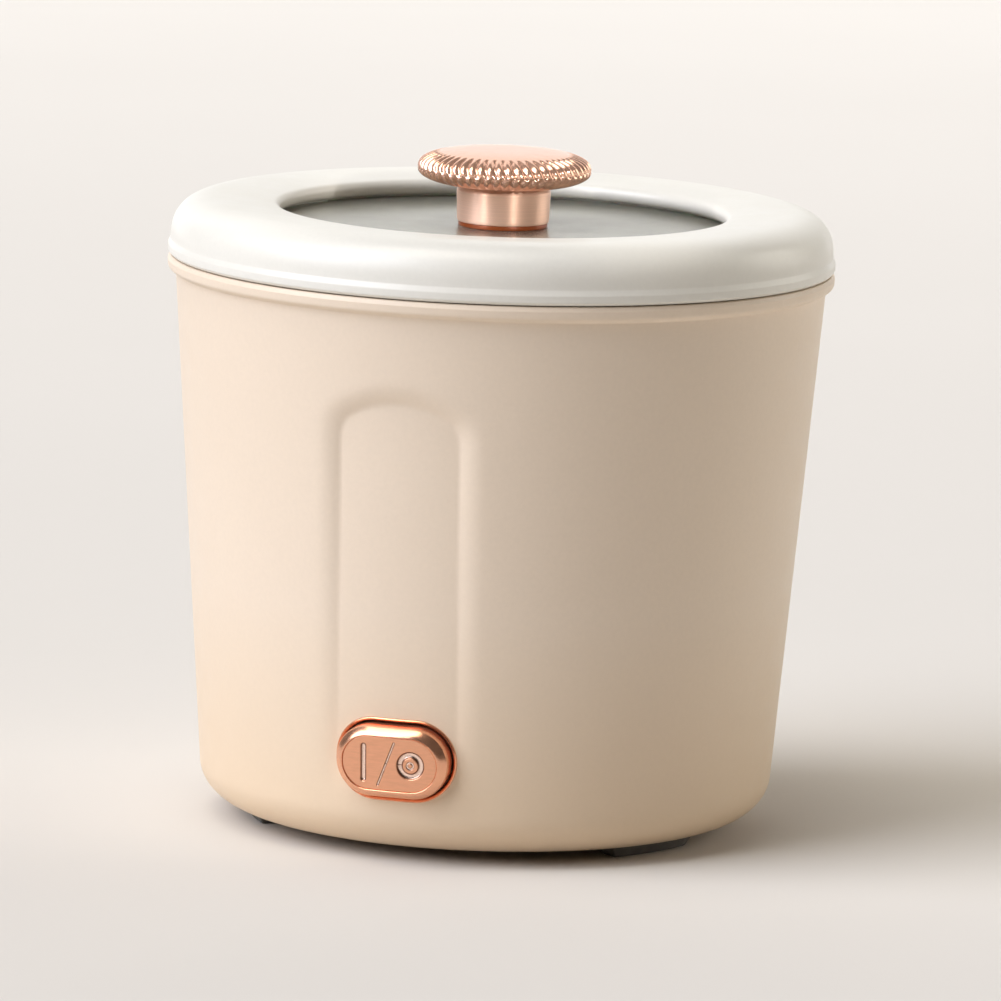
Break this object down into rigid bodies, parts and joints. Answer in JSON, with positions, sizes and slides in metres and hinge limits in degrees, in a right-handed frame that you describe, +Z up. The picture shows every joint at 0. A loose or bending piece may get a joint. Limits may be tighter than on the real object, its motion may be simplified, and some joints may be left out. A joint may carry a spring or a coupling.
{
  "type": "yogurt maker",
  "caption": "Small round electric yogurt maker: tapered cream housing with a push button, removable steel pot, and a domed lid with a glass window and a knurled rose-gold knob.",
  "frame": {"origin": "on the resting surface, under the middle of the housing", "axes": "+Z up; the front, with the button, faces -Y; +X to the right of someone facing the front"},
  "size_m": [0.16, 0.16, 0.1624],
  "materials": {
    "shell_cream": "satin, faintly textured cream",
    "lid_cream": "smooth satin off-white",
    "rose_gold_polished": "polished rose gold",
    "rose_gold_satin": "satin rose gold",
    "copper_brown": "dark copper brown",
    "window_glass": "clear, grey-green",
    "silicone_translucent": "matte silicone",
    "foot_rubber": "matte dark grey",
    "pot_steel": "spun, satin",
    "bowl_aluminium": "bare, satin",
    "heater_aluminium": "cast, matte",
    "ptc_ceramic": "matte",
    "spring_steel": "plain",
    "screw_steel": "zinc plated",
    "felt": "needled felt",
    "inner_plastic": "moulded natural",
    "switch_black": "matte black",
    "inlet_black": "fine moulded texture",
    "brass": "plain",
    "lead_red": "insulation",
    "lead_blue": "insulation"
  },
  "bodies": {
    "base": {"outer_shell": "shell_cream", "base_plate": "shell_cream", "base_screws": "screw_steel", "foot_front_left": "foot_rubber", "foot_front_right": "foot_rubber", "foot_rear": "foot_rubber", "heating_bowl": "bowl_aluminium", "insulation_sleeve": "felt", "heater_plate": "heater_aluminium", "ptc_heaters": "ptc_ceramic", "heater_clamp": "spring_steel", "clamp_screws": "screw_steel", "thermostat": "spring_steel", "thermal_fuse": "ptc_ceramic", "button_bezel": "rose_gold_polished", "switch_bracket": "inner_plastic", "switch_screws": "screw_steel", "switch_body": "switch_black", "switch_terminals": "brass", "inlet_housing": "inlet_black", "inlet_pins": "brass", "lead_live": "lead_red", "lead_neutral": "lead_blue", "lead_switched": "lead_red"},
    "button": {"button_cap": "rose_gold_polished", "button_plunger": "inner_plastic"},
    "pot": {"inner_pot": "pot_steel"},
    "lid": {"lid_ring": "lid_cream", "lid_glass": "window_glass", "glass_gasket": "silicone_translucent", "lid_liner": "inner_plastic", "lid_seal": "silicone_translucent", "knob_cap": "rose_gold_polished", "knob_neck": "rose_gold_satin", "knob_collar": "copper_brown", "knob_gasket": "silicone_translucent", "knob_washer": "spring_steel", "knob_screw": "screw_steel"}
  },
  "joints": [
    {"name": "pot_lift", "type": "slide", "parent": "base", "child": "pot", "axis": [0, 0, 1], "range_m": [0, 0.11]},
    {"name": "lid_lift", "type": "slide", "parent": "pot", "child": "lid", "axis": [0, 0, 1], "range_m": [0, 0.06]},
    {"name": "button_press", "type": "slide", "parent": "base", "child": "button", "axis": [0, 0.9971, 0.076], "range_m": [0, 0.002], "stiffness_N_per_m": 500, "springref_m": -0.002}
  ]
}
